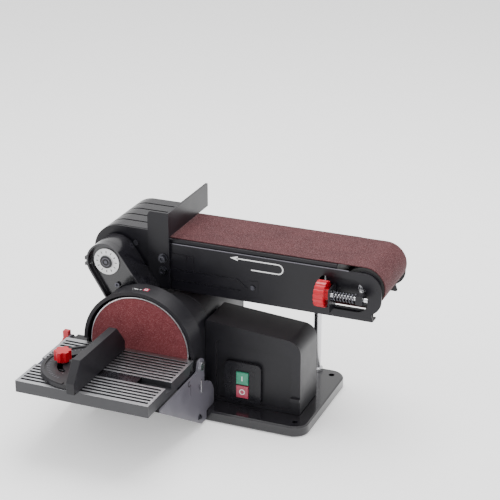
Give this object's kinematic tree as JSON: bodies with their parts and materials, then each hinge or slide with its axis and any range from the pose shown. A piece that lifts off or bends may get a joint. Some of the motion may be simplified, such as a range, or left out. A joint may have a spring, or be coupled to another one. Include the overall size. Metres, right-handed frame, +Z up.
{
  "type": "belt and disc sander",
  "caption": "Bench belt and disc sander: tilting belt arm over a motor base, vertical sanding disc with tilting table and mitre gauge, push-button switch.",
  "frame": {"origin": "centre of the four bench holes, on the underside of the base", "axes": "+X along the sanding belt to its free end, +Y to the back, away from the disc, +Z up"},
  "size_m": [0.4613, 0.374, 0.2855],
  "materials": {
    "cast_black": "satin black powder coat",
    "sheet_black": "semi-gloss black paint on sheet steel",
    "grey_sheet": "semi-gloss grey paint on sheet steel",
    "dark_steel": "blackened steel",
    "black_plastic": "fine-textured moulded plastic",
    "gloss_black": "smooth dark moulded plastic",
    "red_plastic": "glossy red moulded knob",
    "white_plastic": "printed white ring",
    "green_plastic": "translucent green push button",
    "stop_plastic": "translucent red push button",
    "rubber_black": "moulded rubber",
    "table_aluminium": "machined aluminium rib tops over black paint",
    "disc_aluminium": "turned aluminium",
    "steel": "bright machined steel",
    "zinc_steel": "bright zinc-plated steel",
    "lamination": "stacked steel laminations and windings",
    "abrasive_belt": "aluminium oxide grit on cloth",
    "abrasive_disc": "aluminium oxide grit on cloth"
  },
  "bodies": {
    "base": {"base_plate": "cast_black", "rubber_feet": "rubber_black", "motor_housing": "black_plastic", "motor_rear_cover": "black_plastic", "motor_front_cover": "black_plastic", "stator": "lamination", "motor_bearings": "steel", "disc_guard": "black_plastic", "table_support_right": "grey_sheet", "table_support_left": "grey_sheet", "table_pivot_pin": "zinc_steel", "tilt_index": "zinc_steel", "drive_housing": "cast_black", "drive_cover": "cast_black", "angle_dial": "white_plastic", "clamp_screw": "dark_steel", "drive_belt": "rubber_black", "switch_housing": "black_plastic", "switch_bezel": "gloss_black", "switch_block": "gloss_black", "cable_gland": "rubber_black", "support_post": "zinc_steel", "housing_screws": "dark_steel"},
    "rotor": {"motor_shaft": "steel", "rotor_core": "lamination", "motor_fan": "gloss_black", "motor_pulley": "steel", "disc_plate": "disc_aluminium", "abrasive_disc": "abrasive_disc"},
    "belt_arm": {"belt_frame": "sheet_black", "platen": "sheet_black", "rest_bracket": "sheet_black", "drum_cover": "gloss_black", "end_plate": "sheet_black", "drum_bearings": "steel", "abrasive_belt": "abrasive_belt", "tracking_bracket": "sheet_black", "tracking_spring": "dark_steel", "work_stop": "sheet_black", "frame_screws": "dark_steel"},
    "drum": {"drum_shaft": "steel", "drive_drum": "rubber_black", "drum_pulley": "steel"},
    "tension_handle": {"tension_lever": "zinc_steel"},
    "idler_slider": {"idler_yoke": "steel"},
    "idler_fork": {"idler_bracket": "sheet_black", "idler_axle": "zinc_steel"},
    "idler": {"idler_roller": "rubber_black"},
    "tracking": {"tracking_knob": "red_plastic", "tracking_screw": "zinc_steel"},
    "table": {"table_top": "table_aluminium", "table_brackets": "sheet_black"},
    "mitre_slider": {"mitre_bar": "dark_steel"},
    "mitre_gauge": {"mitre_head": "black_plastic", "mitre_fence": "black_plastic"},
    "mitre_clamp": {"mitre_knob": "red_plastic"},
    "tilt_clamp": {"tilt_lock_knob": "red_plastic"},
    "start": {"start_button": "green_plastic"},
    "stop": {"stop_button": "stop_plastic"}
  },
  "joints": [
    {"name": "motor_spin", "type": "hinge", "parent": "base", "child": "rotor", "pos_m": [-0.05, 0, 0.1115], "axis": [0, 1, 0], "continuous": true},
    {"name": "belt_tilt", "type": "hinge", "parent": "base", "child": "belt_arm", "pos_m": [-0.118, 0, 0.214], "axis": [0, -1, 0], "range_deg": [0, 90]},
    {"name": "drum_spin", "type": "hinge", "parent": "belt_arm", "child": "drum", "pos_m": [-0.118, 0, 0.214], "axis": [0, 1, 0], "continuous": true},
    {"name": "tension_turn", "type": "hinge", "parent": "belt_arm", "child": "tension_handle", "pos_m": [0.19, 0.08, 0.214], "axis": [0, 1, 0], "range_deg": [0, 90]},
    {"name": "idler_slide", "type": "slide", "parent": "belt_arm", "child": "idler_slider", "axis": [1, 0, 0], "range_m": [-0.0049, 0], "deforming": ["tracking_spring"]},
    {"name": "idler_steer", "type": "hinge", "parent": "idler_slider", "child": "idler_fork", "pos_m": [0.19, 0.019, 0.214], "axis": [0, 0, 1], "range_deg": [-0.3, 0.3]},
    {"name": "idler_spin", "type": "hinge", "parent": "idler_fork", "child": "idler", "pos_m": [0.246, 0, 0.214], "axis": [0, 1, 0], "continuous": true},
    {"name": "tracking_turn", "type": "hinge", "parent": "belt_arm", "child": "tracking", "pos_m": [0.187, -0.054, 0.206], "axis": [1, 0, 0], "range_deg": [-360, 360]},
    {"name": "table_tilt", "type": "hinge", "parent": "base", "child": "table", "pos_m": [0, -0.11, 0.093], "axis": [1, 0, 0], "range_deg": [0, 45]},
    {"name": "mitre_slide", "type": "slide", "parent": "table", "child": "mitre_slider", "axis": [1, 0, 0], "range_m": [0, 0.042]},
    {"name": "mitre_swivel", "type": "hinge", "parent": "mitre_slider", "child": "mitre_gauge", "pos_m": [-0.092, -0.207, 0.115], "axis": [0, 0, 1], "range_deg": [-45, 45]},
    {"name": "mitre_clamp_turn", "type": "hinge", "parent": "mitre_slider", "child": "mitre_clamp", "pos_m": [-0.124, -0.207, 0.12], "axis": [0, 0, 1], "range_deg": [0, 180]},
    {"name": "tilt_clamp_turn", "type": "hinge", "parent": "base", "child": "tilt_clamp", "pos_m": [-0.17, -0.11, 0.093], "axis": [1, 0, 0], "range_deg": [0, 180]},
    {"name": "start_press", "type": "slide", "parent": "base", "child": "start", "axis": [0, 1, 0], "range_m": [0, 0.003], "stiffness_N_per_m": 500, "springref_m": -0.001},
    {"name": "stop_press", "type": "slide", "parent": "base", "child": "stop", "axis": [0, 1, 0], "range_m": [0, 0.003], "stiffness_N_per_m": 500, "springref_m": -0.001}
  ],
  "couplings": [
    {"joint": "drum_spin", "follows": "motor_spin", "ratio": 0.5833},
    {"joint": "idler_spin", "follows": "motor_spin", "ratio": 0.5988},
    {"joint": "tension_turn", "follows": "idler_slide", "rad_per_m": -320.5},
    {"joint": "idler_steer", "follows": "tracking_turn", "ratio": 0.0008}
  ]
}
